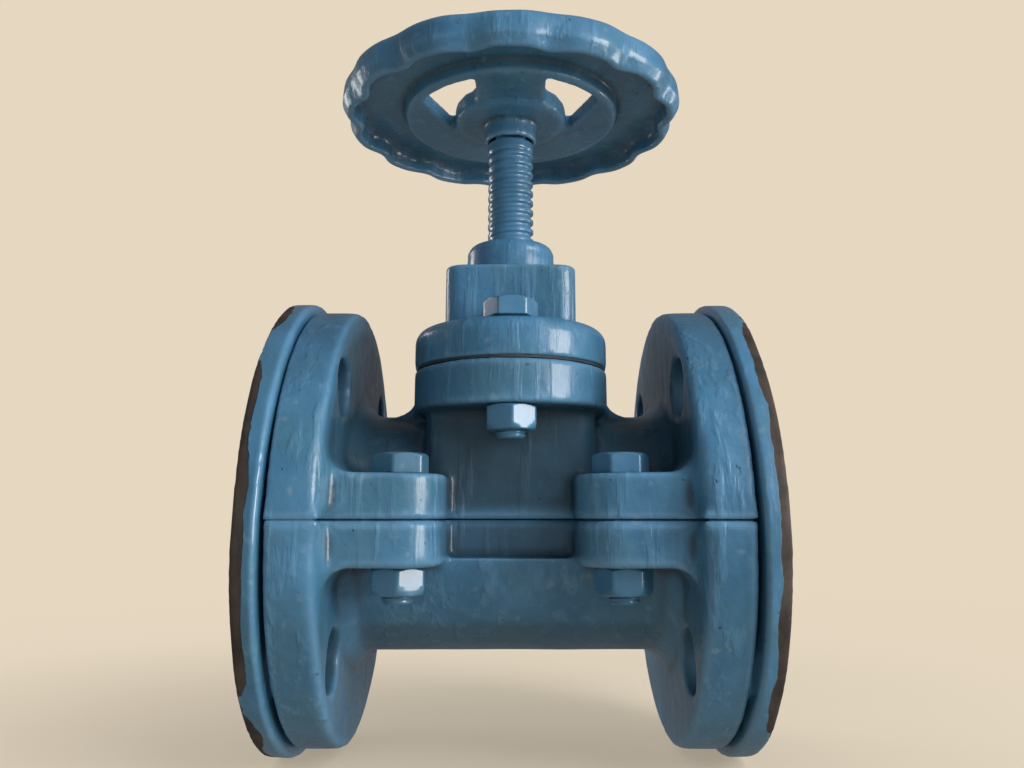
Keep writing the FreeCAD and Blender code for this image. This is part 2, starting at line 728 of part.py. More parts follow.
keep("upper_body", make_upper_body())
keep("lower_body", make_lower_body())
keep("rubber_sleeve", make_sleeve_tube())
keep("sleeve_ring_left", make_sleeve_ring("left_ring", -1))
keep("sleeve_ring_right", make_sleeve_ring("right_ring", 1))
keep("bonnet", make_bonnet())
keep("bonnet_gasket", make_gasket())
keep("stem", make_stem())
keep("stem_bush", make_bush())
keep("stem_collar", make_collar())
keep("stem_wiper", make_wiper())
keep("compressor", make_compressor())
keep("thrust_washer", make_thrust_washer())
keep("stem_retainer", make_retainer())
keep("retainer_screws", make_retainer_screws())
keep("handwheel", make_handwheel())

nut_low = "hub_high + wheel_washer_thickness"
wheel_washer = revolved("wheel_washer_turned", [
    ("stud_radius + 0.2", "hub_high"), ("wheel_washer_radius", "hub_high"),
    ("wheel_washer_radius", nut_low), ("stud_radius + 0.2", nut_low),
])
keep("handwheel_washer", wheel_washer)
wheel_nut_blank = hexagon("wheel_nut_hex", "wheel_nut_hex_radius", ("0", "0", nut_low),
                          "wheel_nut_height", WHEEL_NUT_TURN)
wheel_nut_bore = cylinder("wheel_nut_bore", "stud_radius + 0.1", ("0", "0", nut_low + " - 1"),
                          "wheel_nut_height + 2")
keep("handwheel_nut", cut("wheel_nut_bored", wheel_nut_blank, wheel_nut_bore))

# each body bolt: place, and how far its head and its nut are turned
BODY_BOLTS = {
    "front_left": (-1, -1, 22.0, 38.0),
    "front_right": (1, -1, 5.0, 18.0),
    "rear_left": (-1, 1, 12.0, 47.0),
    "rear_right": (1, 1, 33.0, 26.0),
}
for place_name, (side, front, head_turn, nut_turn) in BODY_BOLTS.items():
    x, y = "%d * lug_x" % side, "%d * lug_y" % front
    nut_low = "-lug_thickness - nut_height"
    tail_low = nut_low + " - bolt_tail"
    bolt_name, nut_name = "body_bolt_" + place_name, "body_nut_" + place_name
    keep(bolt_name, make_bolt(bolt_name + "_blank", x, y, "lug_thickness", tail_low, head_turn))
    keep(nut_name, make_nut(nut_name + "_blank", x, y, nut_low, nut_turn))

BONNET_BOLTS = {"front": (-1, 4.0, 0.0), "rear": (1, 21.0, 50.0)}
for place_name, (front, head_turn, nut_turn) in BONNET_BOLTS.items():
    y = "%d * bonnet_bolt_y" % front
    nut_low = "top_flange_low - nut_height"
    tail_low = nut_low + " - bolt_tail"
    bolt_name, nut_name = "bonnet_bolt_" + place_name, "bonnet_nut_" + place_name
    keep(bolt_name, make_bolt(bolt_name + "_blank", "0", y, "bonnet_flange_high", tail_low, head_turn))
    keep(nut_name, make_nut(nut_name + "_blank", "0", y, nut_low, nut_turn))

doc.recompute()
for item in doc.Objects:
    if "Invalid" in item.State or "Error" in item.State:
        raise RuntimeError("%s did not build: %s" % (item.Label, item.State))
for name, feature in nodes.items():
    shape = feature.Shape
    if shape.isNull() or not shape.isValid():
        raise RuntimeError("%s has no valid shape" % name)

os.makedirs("parts", exist_ok=True)
for name, feature in nodes.items():
    feature.Shape.exportStep(os.path.join("parts", name + ".step"))
    bounds = feature.Shape.BoundBox
    print("%-24s %2d solids %10.0f mm3  z %7.1f to %6.1f" % (
        name, len(feature.Shape.Solids), feature.Shape.Volume, bounds.ZMin, bounds.ZMax))
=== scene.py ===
import math

import bmesh
import bpy
import numpy as np
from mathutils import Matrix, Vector


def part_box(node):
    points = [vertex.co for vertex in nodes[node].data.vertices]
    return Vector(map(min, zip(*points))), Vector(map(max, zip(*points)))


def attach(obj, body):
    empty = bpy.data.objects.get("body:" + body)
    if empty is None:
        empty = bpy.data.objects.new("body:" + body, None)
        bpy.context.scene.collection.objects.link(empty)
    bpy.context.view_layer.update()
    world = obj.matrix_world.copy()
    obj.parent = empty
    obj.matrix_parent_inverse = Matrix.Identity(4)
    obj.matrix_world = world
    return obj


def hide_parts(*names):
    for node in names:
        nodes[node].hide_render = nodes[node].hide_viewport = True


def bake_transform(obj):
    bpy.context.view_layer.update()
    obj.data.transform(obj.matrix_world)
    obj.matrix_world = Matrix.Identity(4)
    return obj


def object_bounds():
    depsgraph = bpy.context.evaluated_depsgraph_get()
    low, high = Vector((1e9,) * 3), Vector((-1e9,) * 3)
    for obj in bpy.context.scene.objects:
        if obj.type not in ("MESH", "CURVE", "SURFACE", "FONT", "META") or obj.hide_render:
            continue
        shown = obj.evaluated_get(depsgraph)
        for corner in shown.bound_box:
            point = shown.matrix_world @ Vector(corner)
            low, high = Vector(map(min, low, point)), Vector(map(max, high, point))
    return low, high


# Looks of a hand-operated pinch valve: blue-enamelled castings, painted rubber end rings, screw and
# handwheel. Lengths are in metres, and most are written as a number of millimetres times MM.

MM = 0.001

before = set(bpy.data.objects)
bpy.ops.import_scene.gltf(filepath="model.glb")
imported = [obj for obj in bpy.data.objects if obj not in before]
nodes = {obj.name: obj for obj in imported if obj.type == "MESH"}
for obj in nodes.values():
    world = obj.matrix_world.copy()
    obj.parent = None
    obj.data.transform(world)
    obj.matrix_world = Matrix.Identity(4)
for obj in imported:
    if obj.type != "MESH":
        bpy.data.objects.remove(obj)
cad_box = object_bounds()

# ---------------------------------------------------------------- stage, camera, lights

CAMERA_AT = (0.0, -327.4 * MM, 0.7 * MM)
CAMERA_TILT_UP = math.radians(12.44)
CAMERA_LENS = 30.41
CAMERA_SHIFT = (0.0013, -0.056)
AIM = Vector((0, 0, 40 * MM))
PALE = (0.79, 0.68, 0.53, 1)
FLOOR = (0.68, 0.59, 0.46, 1)
FLOOR_SHADE = (0.60, 0.51, 0.38, 1)


def put_camera():
    """The camera stands level with the bore and looks up at the handwheel."""
    data = bpy.data.cameras.new("camera")
    data.lens = CAMERA_LENS
    data.sensor_width = 36
    data.shift_x, data.shift_y = CAMERA_SHIFT
    data.clip_start = 0.01
    camera = bpy.data.objects.new("camera", data)
    camera.location = CAMERA_AT
    camera.rotation_euler = (math.pi / 2 + CAMERA_TILT_UP, 0, 0)
    bpy.context.scene.collection.objects.link(camera)
    bpy.context.scene.camera = camera


def put_softbox(name, azimuth, elevation, distance, width, height, power, colour, mirrored):
    """A soft light aimed at the valve, which gloss shows only if it is mirrored.

    Azimuth 0 is the camera's side and 90 is +X.
    """
    data = bpy.data.lights.new(name, "AREA")
    data.shape = "RECTANGLE"
    data.size, data.size_y = width, height
    data.energy = power
    data.color = colour
    light = bpy.data.objects.new(name, data)
    turn, lift = math.radians(azimuth), math.radians(elevation)
    toward = Vector((math.sin(turn) * math.cos(lift), -math.cos(turn) * math.cos(lift), math.sin(lift)))
    light.location = AIM + distance * toward
    light.rotation_euler = toward.to_track_quat("Z", "Y").to_euler()
    light.visible_camera = False
    light.visible_glossy = mirrored
    bpy.context.scene.collection.objects.link(light)


def put_lights():
    put_softbox("window", 58, 6, 1.1, 0.50, 0.55, 8.5, (1.0, 0.99, 0.97), True)
    put_softbox("side_window", 106, 0, 1.1, 0.12, 0.6, 2.4, (1.0, 0.99, 0.97), True)
    put_softbox("skylight", 50, 34, 1.2, 0.9, 0.8, 13.5, (0.93, 0.97, 1.0), False)
    put_softbox("front_fill", -6, 0, 1.3, 1.0, 0.8, 4.0, (0.86, 0.94, 1.0), False)
    put_softbox("rear_fill", 205, 22, 1.3, 1.0, 0.9, 9.0, (0.93, 0.97, 1.0), False)
    put_softbox("rear_window", 238, 12, 1.2, 0.35, 0.6, 3.0, (1.0, 0.99, 0.97), True)
    world = bpy.data.worlds.new("room")
    world.use_nodes = True
    background = world.node_tree.nodes["Background"]
    background.inputs["Color"].default_value = (0.93, 0.95, 1.0, 1)
    background.inputs["Strength"].default_value = 0.16
    bpy.context.scene.world = world
    bpy.context.scene.view_settings.view_transform = "Standard"


# ---------------------------------------------------------------- shader maths

class Value:
    """A socket of a finish. Arithmetic on it adds Math nodes."""

    def __init__(self, finish, socket):
        self.finish = finish
        self.socket = socket

    def math(self, operation, first, second=0.0):
        return self.finish.node("ShaderNodeMath", {"operation": operation}, {0: first, 1: second})

    def __add__(self, other):
        return self.math("ADD", self, other)

    def __radd__(self, other):
        return self.math("ADD", other, self)

    def __sub__(self, other):
        return self.math("SUBTRACT", self, other)

    def __rsub__(self, other):
        return self.math("SUBTRACT", other, self)

    def __mul__(self, other):
        return self.math("MULTIPLY", self, other)

    def __rmul__(self, other):
        return self.math("MULTIPLY", other, self)

    def step(self, low, high):
        """0 below low and 1 above high, with a smooth rise between."""
        settings = {"interpolation_type": "SMOOTHSTEP"}
        sockets = {"Value": self, 1: low, 2: high, 3: 0.0, 4: 1.0}
        return self.finish.node("ShaderNodeMapRange", settings, sockets)


class Finish:
    """A material being mixed. Every node is added by node()."""

    def __init__(self, name):
        self.material = bpy.data.materials.new(name)
        self.material.use_nodes = True
        self.tree = self.material.node_tree
        self.tree.nodes.clear()
        self.place = self.node("ShaderNodeTexCoord", {}, {}, "Object")

    def node(self, kind, settings, sockets, out=0):
        """A node of this kind: its settings first, then the values or links of its sockets."""
        made = self.tree.nodes.new(kind)
        for name, value in settings.items():
            setattr(made, name, value)
        for key, value in sockets.items():
            if isinstance(value, Value):
                self.tree.links.new(value.socket, made.inputs[key])
            else:
                made.inputs[key].default_value = value
        return None if out is None else Value(self, made.outputs[out])

    def noise(self, scale, detail=3.0, stretch=(1, 1, 1), shift=(0, 0, 0)):
        """Cloudy values about 0.5, with this many lumps a metre."""
        placing = {"Vector": self.place, "Scale": stretch, "Location": shift}
        spot = self.node("ShaderNodeMapping", {}, placing)
        return self.node("ShaderNodeTexNoise", {}, {"Vector": spot, "Scale": scale, "Detail": detail})

    def mark(self, name):
        """The value that a mesh holds at each point under this name."""
        return self.node("ShaderNodeAttribute", {"attribute_name": name}, {}, "Fac")

    def mix(self, share, first, second):
        return self.node("ShaderNodeMix", {"data_type": "RGBA"}, {0: share, 6: first, 7: second}, 2)

    def bump(self, height, strength, depth):
        return self.node("ShaderNodeBump", {}, {"Height": height, "Strength": strength, "Distance": depth})

    def finished(self, sockets):
        """Close the material with one Principled shader."""
        shader = self.node("ShaderNodeBsdfPrincipled", {}, sockets)
        return self.closed(shader)

    def closed(self, surface):
        self.node("ShaderNodeOutputMaterial", {}, {"Surface": surface}, None)
        return self.material


# ---------------------------------------------------------------- finishes

DEEP_BLUE = (0.028, 0.102, 0.182, 1)
MID_BLUE = (0.052, 0.160, 0.275, 1)
PALE_BLUE = (0.125, 0.275, 0.430, 1)
TEAL = (0.045, 0.120, 0.160, 1)
SHADOW_BLUE = (0.014, 0.034, 0.048, 1)
DUST = (0.230, 0.310, 0.340, 1)
DARK_RUBBER = (0.020, 0.017, 0.016, 1)
BROWN_RUBBER = (0.052, 0.034, 0.026, 1)
OLIVE_STAIN = (0.070, 0.066, 0.048, 1)
BARE_STEEL = (0.42, 0.44, 0.45, 1)


def enamel_parts(finish, runs=1.0):
    """Colour, roughness and height of thick enamel.

    It is mottled and run in streaks, paler on ridges as a painted highlight, darker in hollows as painted
    shade, and darker where the painted shade mark is set.
    """
    broad = finish.noise(22, 3).step(0.35, 0.65)
    mottle = finish.noise(130, 5)
    peel = finish.noise(600, 2)
    lumps = finish.noise(240, 2, shift=(2, 7, 1))
    streaks = finish.noise(1, 4, (210, 210, 26))
    ridge = finish.mark("ridge")
    colour = finish.mix(broad * 0.75 + mottle.step(0.35, 0.7) * 0.25, DEEP_BLUE, MID_BLUE)
    faded = finish.noise(38, 3, shift=(4, 8, 3)).step(0.46, 0.66)
    colour = finish.mix(faded * 0.45, colour, TEAL)
    colour = finish.mix(streaks.step(0.50, 0.72) * 0.18 * runs, colour, PALE_BLUE)
    # Painted highlight and painted shade: by the ridge mark, ridges are mixed paler and hollows darker.
    colour = finish.mix(ridge.step(0.15, 0.9) * 0.35, colour, PALE_BLUE)
    colour = finish.mix((0 - ridge).step(0.12, 0.8) * 0.8, colour, SHADOW_BLUE)
    dust = finish.noise(260, 6, shift=(3, 1, 2)).step(0.60, 0.74)
    colour = finish.mix(dust * 0.20, colour, DUST)
    specks = finish.noise(420, 3, shift=(9, 4, 6)).step(0.70, 0.76)
    colour = finish.mix(specks * 0.7, colour, SHADOW_BLUE)
    # Painted shade: where the mesh's shade mark is set, the enamel is mixed towards SHADOW_BLUE and made a
    # little rougher.
    painted_shade = finish.mark("painted_shade")
    colour = finish.mix(painted_shade * (0.62 + mottle * 0.4), colour, SHADOW_BLUE)
    roughness = 0.36 + painted_shade * 0.12 + (mottle - 0.5) * 0.5 + dust * 0.2
    height = mottle * 0.9 + lumps * 0.45 + peel * 0.10
    height = height + streaks.step(0.50, 0.70) * (0.5 * runs) - specks * 0.3
    return colour, roughness, height


def enamel(name):
    finish = Finish(name)
    colour, roughness, height = enamel_parts(finish)
    return finish.finished({
        "Base Color": colour, "Roughness": roughness, "Normal": finish.bump(height, 0.75, 0.0007),
        "Coat Weight": 0.40, "Coat Roughness": 0.14, "Coat IOR": 1.5,
    })


def chipped_enamel(name):
    """Enamel brushed over rubber: it has cracked off the outer lip, where dark rubber shows."""
    finish = Finish(name)
    colour, roughness, height = enamel_parts(finish, 0.6)
    torn = finish.mark("torn")
    patches = finish.noise(70, 5)
    flaked = (torn + (patches - 0.5) * 0.9).step(0.47, 0.53)
    rubber = finish.mix(finish.noise(110, 4).step(0.25, 0.8), DARK_RUBBER, BROWN_RUBBER)
    stained = finish.noise(45, 3, shift=(1, 5, 2)).step(0.50, 0.75)
    rubber = finish.mix(stained * 0.4, rubber, OLIVE_STAIN)
    colour = finish.mix(flaked, colour, rubber)
    roughness = roughness + flaked * 0.35
    return finish.finished({
        "Base Color": colour, "Roughness": roughness,
        "Normal": finish.bump(height - flaked * 0.9, 0.6, 0.0006),
        "Coat Weight": 0.75 * (1 - flaked), "Coat Roughness": 0.08,
    })


def worn_enamel(name):
    """Thin enamel on bolts, nuts and the screw: corners are rubbed to bright metal."""
    finish = Finish(name)
    colour, roughness, height = enamel_parts(finish, 0.3)
    corner = finish.mark("corner")
    rubbed = (corner + (finish.noise(330, 4) - 0.5) * 1.5).step(0.72, 0.86)
    colour = finish.mix(rubbed, colour, BARE_STEEL)
    return finish.finished({
        "Base Color": colour, "Roughness": roughness, "Metallic": rubbed * 0.9,
        "Normal": finish.bump(height - rubbed * 0.3, 0.4, 0.0004),
        "Coat Weight": 0.8 * (1 - rubbed), "Coat Roughness": 0.06,
    })


def plain_metal(name, dark, light, roughness, metallic):
    """Metal with cloudy colour and a fine grain."""
    finish = Finish(name)
    cloud = finish.noise(60, 4)
    grain = finish.noise(900, 3)
    colour = finish.mix(cloud.step(0.3, 0.7), dark, light)
    return finish.finished({
        "Base Color": colour, "Metallic": metallic,
        "Roughness": roughness + (cloud - 0.5) * 0.25 + (grain - 0.5) * 0.12,
        "Normal": finish.bump(grain + cloud, 0.4, 0.0002),
    })


def soft_stuff(name, dark, light, roughness):
    """Rubber or fibre sheet: matt, with a fine pebbled skin."""
    finish = Finish(name)
    cloud = finish.noise(60, 3)
    skin = finish.noise(1200, 3)
    return finish.finished({
        "Base Color": finish.mix(cloud.step(0.3, 0.7), dark, light),
        "Roughness": roughness + (skin - 0.5) * 0.2,
        "Normal": finish.bump(skin, 0.5, 0.0002),
    })


# ---------------------------------------------------------------- meshes

TURN_STEPS = 96


def outward(points, faces):
    """The faces, turned over if the solid they close would have a negative volume."""
    a = points[faces[:, 0]]
    volume = 0.0
    for k in range(1, faces.shape[1] - 1):
        volume += np.einsum("ij,ij->i", a, np.cross(points[faces[:, k]], points[faces[:, k + 1]])).sum()
    return faces if volume > 0 else faces[:, ::-1]


def make_piece(name, points, faces, finish, marks=None):
    """An object whose mesh is these points and faces, with a value per point for each mark."""
    mesh = bpy.data.meshes.new(name)
    mesh.from_pydata(points.tolist(), [], faces.tolist())
    mesh.update()
    mesh.shade_smooth()
    for mark, values in (marks or {}).items():
        mesh.attributes.new(mark, "FLOAT", "POINT").data.foreach_set("value", values.astype(np.float32))
    mesh.materials.append(finish)
    piece = bpy.data.objects.new(name, mesh)
    bpy.context.scene.collection.objects.link(piece)
    return piece


def fit(piece, body, slot, *replaced):
    """Let the piece move with its body and stand for its CAD nodes."""
    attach(piece, body)
    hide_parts(*replaced)


def full_turn(steps=TURN_STEPS):
    """Evenly spaced angles of one turn."""
    return np.linspace(0, 2 * math.pi, steps, endpoint=False)


def place_rows(radius, height, around, centre=(0, 0)):
    """Points at each radius and height, turned round a vertical line."""
    height = np.broadcast_to(height[:, None], radius.shape)
    return np.stack([centre[0] + radius * np.cos(around), centre[1] + radius * np.sin(around), height], 2)


def skinned(rows):
    """Triangles and points of a tube of rows, each a loop of points, closed by a point at each end."""
    count, around = rows.shape[:2]
    here = np.arange((count - 1) * around)
    row, column = here // around, here % around
    right = row * around + (column + 1) % around
    quads = np.stack([here, right, right + around, here + around], 1)
    first, last = count * around, count * around + 1
    column = np.arange(around)
    after = (column + 1) % around
    low_fan = np.stack([np.full(around, first), after, column], 1)
    top = (count - 1) * around
    high_fan = np.stack([np.full(around, last), top + column, top + after], 1)
    split = np.concatenate([quads[:, [0, 1, 2]], quads[:, [0, 2, 3]], low_fan, high_fan])
    points = np.concatenate([rows.reshape(-1, 3), [rows[0].mean(0), rows[-1].mean(0)]])
    return points, outward(points, split)


def looped(rows):
    """Quads and points of rows that close on themselves both ways, as on a ring."""
    count, around = rows.shape[:2]
    here = np.arange(count * around)
    row, column = here // around, here % around
    beside = (column + 1) % around
    above = (row + 1) % count
    quads = np.stack([here, row * around + beside, above * around + beside, above * around + column], 1)
    points = rows.reshape(-1, 3)
    return points, outward(points, quads)


def neighbour_mean(points, edges):
    """The mean of the points that each point shares an edge with."""
    a, b = edges.T
    size = len(points)
    count = np.bincount(a, minlength=size) + np.bincount(b, minlength=size)
    total = [np.bincount(a, points[b, k], size) + np.bincount(b, points[a, k], size) for k in range(3)]
    return np.stack(total, 1) / np.maximum(count, 1)[:, None]


def softened(points, edges, passes, weight):
    """Each pass moves a point half of the way to its neighbours' mean, times its weight."""
    for _ in range(passes):
        points = points + 0.5 * weight[:, None] * (neighbour_mean(points, edges) - points)
    return points


def hand_finish(points, height):
    """Slow waves on a cast surface: three crossed sine waves of position, of this height."""
    x, y, z = (points / (9 * MM)).T
    first = np.sin(x + 1.7 * np.sin(0.6 * y)) * np.sin(0.9 * z + 0.5)
    second = np.sin(1.1 * y + 0.8 * x) * np.sin(0.7 * z - x)
    return 0.5 * height * (first + second)


def voxel_mesh(name, source, voxel):
    """One closed even skin round the source mesh, as points, quads and edges."""
    merged = bmesh.new()
    merged.from_mesh(source)
    bmesh.ops.remove_doubles(merged, verts=merged.verts, dist=0.001 * MM)
    mesh = bpy.data.meshes.new(name)
    merged.to_mesh(mesh)
    merged.free()
    holder = bpy.data.objects.new(name, mesh)
    bpy.context.scene.collection.objects.link(holder)
    skin = holder.modifiers.new("skin", "REMESH")
    skin.mode = "VOXEL"
    skin.voxel_size = voxel
    bpy.context.view_layer.update()
    result = bpy.data.meshes.new_from_object(holder.evaluated_get(bpy.context.evaluated_depsgraph_get()))
    bpy.data.objects.remove(holder)
    points = np.empty(len(result.vertices) * 3)
    result.vertices.foreach_get("co", points)
    edges = np.empty(len(result.edges) * 2, int)
    result.edges.foreach_get("vertices", edges)
    corners = np.empty(len(result.polygons) * 4, int)
    result.loops.foreach_get("vertex_index", corners)
    bpy.data.meshes.remove(result)
    return points.reshape(-1, 3), corners.reshape(-1, 4), edges.reshape(-1, 2)


def point_normals(points, quads):
    """Each point's normal: the sum of the normals of the quads round it."""
    across = np.cross(points[quads[:, 2]] - points[quads[:, 0]], points[quads[:, 3]] - points[quads[:, 1]])
    corners = quads.T
    total = np.stack([
        sum(np.bincount(corner, across[:, k], len(points)) for corner in corners) for k in range(3)], 1)
    return total / np.maximum(np.linalg.norm(total, axis=1), 1e-12)[:, None]


def smooth_rise(values, low, high):
    """0 below low and 1 above high, with a smooth rise between."""
    share = np.clip((values - low) / (high - low), 0, 1)
    return share * share * (3 - 2 * share)


def cast_piece(name, source, voxel, passes, keep_sharp, finish, wave=0.12 * MM, extra=None, reshape=None):
    """A casting's thick painted skin: remeshed evenly, softened except where keep_sharp is 1, and wavy.

    extra is a number of softening passes and where they act; reshape moves points and gives marks.
    """
    points, quads, edges = voxel_mesh(name, source, voxel)
    weight = 1 - keep_sharp(points)
    points = softened(points, edges, passes, weight)
    if extra is not None:
        points = softened(points, edges, extra[0], weight * extra[1](points))
    marks = {}
    if reshape is not None:
        points, marks = reshape(points)
    normals = point_normals(points, quads)
    # The ridge mark: how far a point stands out from its softened surroundings; the enamel uses it for a
    # painted highlight on ridges and painted shade in hollows.
    wide = softened(points, edges, 10, np.ones(len(points)))
    marks["ridge"] = np.clip(((points - wide) * normals).sum(1) / (0.45 * MM), -1, 1)
    points = points + (hand_finish(points, wave) * weight)[:, None] * normals
    return make_piece(name, points, quads, finish, marks)


# ---------------------------------------------------------------- castings

FLANGE_RADIUS = 76.2 * MM
FLANGE_INNER = 55 * MM
BOLT_CIRCLE_RADIUS = 60.325 * MM


def beside_split(points):
    """1 next to the plane where the two body halves meet, so that their edges stay crisp."""
    return 1 - smooth_rise(np.abs(points[:, 2]), 1.4 * MM, 3.0 * MM)


def nowhere(points):
    """0 at every point: nothing of the piece stays crisp."""
    return np.zeros(len(points))


def flange_rim(points):
    """1 at the inner rim of each end flange, which is rounded most near the split."""
    out = np.hypot(points[:, 1], points[:, 2]) - FLANGE_RADIUS
    along = np.abs(points[:, 0]) - FLANGE_INNER
    height_share = 1 - 0.75 * smooth_rise(np.abs(points[:, 2]), 14 * MM, 38 * MM)
    return height_share * (1 - smooth_rise(np.hypot(out, along), 4.5 * MM, 10 * MM))


def closed_split(points):
    """The body halves' faces, brought together to a hairline, which paint bridges on the left rim; it also
    marks painted shade in the bolt holes.
    """
    near = 1 - smooth_rise(np.abs(points[:, 2]), 0.6 * MM, 2.2 * MM)
    radius = np.hypot(points[:, 1], points[:, 2])
    left_flange = 1 - smooth_rise(points[:, 0], -57 * MM, -FLANGE_INNER)
    bridged = left_flange * smooth_rise(radius, 71 * MM, 74 * MM)
    pull = (0.19 + 0.5 * bridged) * MM * near
    points[:, 2] = np.sign(points[:, 2]) * np.maximum(np.abs(points[:, 2]) - pull, 0.01 * MM)
    return points, {"painted_shade": shade_in_holes(points)}


def shade_in_holes(points):
    """1 on the walls of the four bolt holes of each end flange, to darken them there as painted shade."""
    bolt_at = BOLT_CIRCLE_RADIUS / math.sqrt(2)
    from_bolt = np.hypot(np.abs(points[:, 1]) - bolt_at, np.abs(points[:, 2]) - bolt_at)
    in_flange = smooth_rise(np.abs(points[:, 0]), 52 * MM, 54 * MM)
    return 0.75 * in_flange * (1 - smooth_rise(from_bolt, 9.4 * MM, 10.4 * MM))


def shade_round_waist(points):
    """A closed split, and painted shade round the neck, on the flange roots and on their inner faces."""
    points, marks = closed_split(points)
    x, y, z = np.abs(points[:, 0]), np.abs(points[:, 1]), points[:, 2]
    sheltered = 1 - smooth_rise(y, 40 * MM, 54 * MM)
    waist = sheltered * smooth_rise(z, 0, 6 * MM) * (1 - smooth_rise(z, 34 * MM, 42 * MM))
    inner_face = 1 - smooth_rise(np.abs(x - FLANGE_INNER), 1.5 * MM, 4 * MM)
    upper = smooth_rise(z, 12 * MM, 24 * MM) * (1 - smooth_rise(np.hypot(y, z), 66 * MM, 73 * MM))
    top_flange = 0.2 * smooth_rise(z, 36 * MM, 44 * MM)
    marks["painted_shade"] = np.maximum.reduce([waist, 0.8 * inner_face * upper, top_flange, marks["painted_shade"]])
    return points, marks


def shade_on_ledge(points):
    """A closed split, and painted shade on the panel between the lugs and along the underside of the tube.
    """
    points, marks = closed_split(points)
    x, z = np.abs(points[:, 0]), points[:, 2]
    panel = (1 - smooth_rise(x, 19 * MM, 24 * MM)) * smooth_rise(z, -12.5 * MM, -9.5 * MM)
    underside = (1 - smooth_rise(x, 44 * MM, 52 * MM)) * (1 - smooth_rise(z, -35 * MM, -31 * MM))
    marks["painted_shade"] = np.maximum.reduce([0.75 * panel, 0.45 * underside, marks["painted_shade"]])
    return points, marks


def square_shoulder(points):
    """The collar's shoulder, filled out from its cone towards a square edge."""
    shoulder, top = 98 * MM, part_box("stem_collar")[1].z
    radius = np.hypot(points[:, 0], points[:, 1])
    rise = np.clip((points[:, 2] - shoulder) / (top - shoulder), 0, 1)
    outer = smooth_rise(radius, 11 * MM, 13 * MM)
    points[:, :2] *= (1 + 0.14 * outer * rise ** 2)[:, None]
    return points, {}


def make_castings(blue):
    upper = cast_piece("upper_casting", nodes["upper_body"].data, 1.15 * MM, 5, beside_split, blue,
                       extra=(45, flange_rim), reshape=shade_round_waist)
    fit(upper, "root", "blue_casting", "upper_body")
    lower = cast_piece("lower_casting", nodes["lower_body"].data, 1.2 * MM, 5, beside_split, blue,
                       extra=(45, flange_rim), reshape=shade_on_ledge)
    fit(lower, "root", "blue_casting", "lower_body")
    bonnet = cast_piece("bonnet_casting", nodes["bonnet"].data, 0.85 * MM, 4, nowhere, blue)
    fit(bonnet, "root", "blue_casting", "bonnet")
    collar = cast_piece("collar_casting", nodes["stem_collar"].data, 0.6 * MM, 3, nowhere, blue,
                        wave=0.05 * MM, reshape=square_shoulder)
    fit(collar, "root", "blue_casting", "stem_collar")


LOBES = 14
LOBE_SWING = 1.9 * MM


def arc(centre, radius, start, end, steps):
    """Points of an arc in the (radius, height) plane, from one angle in degrees to another."""
    angle = np.radians(np.linspace(start, end, steps))
    return np.stack([centre[0] + radius * np.cos(angle), centre[1] + radius * np.sin(angle)], 1)


def wheel_profile():
    """The wheel's section in millimetres, as one closed outline: skirt, channel, web, boss and hub."""
    bore = 8.6
    return np.concatenate([
        [(bore, 148.3)], arc((9.2, 149.3), 1.2, -90, 0, 4),
        [(10.4, 155.2)], arc((11.6, 155.2), 1.2, 180, 90, 4),
        arc((19.8, 158.9), 2.5, -90, 0, 6)[:4], [(22.3, 158.4)],
        [(40.5, 157.8)], arc((41.5, 159.3), 1.5, -90, 0, 5),
        [(43.0, 162.0), (44.2, 163.4), (52.0, 163.6)],
        arc((57.2, 159.2), 4.4, 90, 5, 7), [(61.5, 157.0)],
        arc((63.1, 156.6), 1.6, 185, 340, 8), [(65.6, 158.2)],
        arc((64.2, 160.6), 2.7, -50, 0, 4), arc((63.4, 165.4), 3.5, 0, 90, 9), [(58.0, 168.9)],
        [(44.0, 168.5), (40.5, 168.4)], arc((40.2, 167.0), 1.3, 100, 180, 5),
        [(38.8, 165.2), (36.5, 164.6), (20.5, 164.5)],
        [(19.4, 164.9), (15.6, 170.6)], arc((14.0, 170.5), 1.0, 10, 90, 4), [(bore, 171.5)],
    ]) * MM


def wheel_blank():
    """The profile turned about the screw.

    Its outer radius swells and sinks with a cosine of the angle, least at the top.
    """
    profile = wheel_profile()
    fine = []
    for start, end in zip(profile, np.roll(profile, -1, 0)):
        steps = max(1, int(np.hypot(*(end - start)) / (1.5 * MM)))
        fine.append(start + (end - start) * np.linspace(0, 1, steps, endpoint=False)[:, None])
    profile = np.concatenate(fine)
    around = full_turn(560)
    lobe_turn = LOBES * (around + math.pi / 2)
    wave = 0.80 * np.cos(lobe_turn) - 0.20 * np.cos(2 * lobe_turn)
    rim_share = smooth_rise(profile[:, 0], 47 * MM, 58 * MM)
    rim_share = rim_share * (1 - 0.65 * smooth_rise(profile[:, 1], 156 * MM, 167 * MM))
    radius = profile[:, 0, None] + LOBE_SWING * rim_share[:, None] * wave[None, :]
    return looped(place_rows(radius, profile[:, 1], around))


# the right window's outline, in millimetres
WINDOW = [(13.0, -18.1), (13.0, -36.6), (17.0, -34.9), (21.0, -32.6), (25.0, -29.7), (29.0, -25.8),
          (32.0, -21.9), (33.8, -19.0), (24.8, 4.8), (23.9, 5.6), (22.8, 4.6), (22.6, 0.0), (21.6, -6.3),
          (18.2, -13.4)]


def window_cutter(side):
    """A prism through the web: beside the front spoke, round the boss, and slanting back to it."""
    outline = np.array(WINDOW) * MM * (side, 1)
    low = np.column_stack([outline, np.full(len(outline), 150 * MM)])
    high = np.column_stack([outline, np.full(len(outline), 175 * MM)])
    return low, high


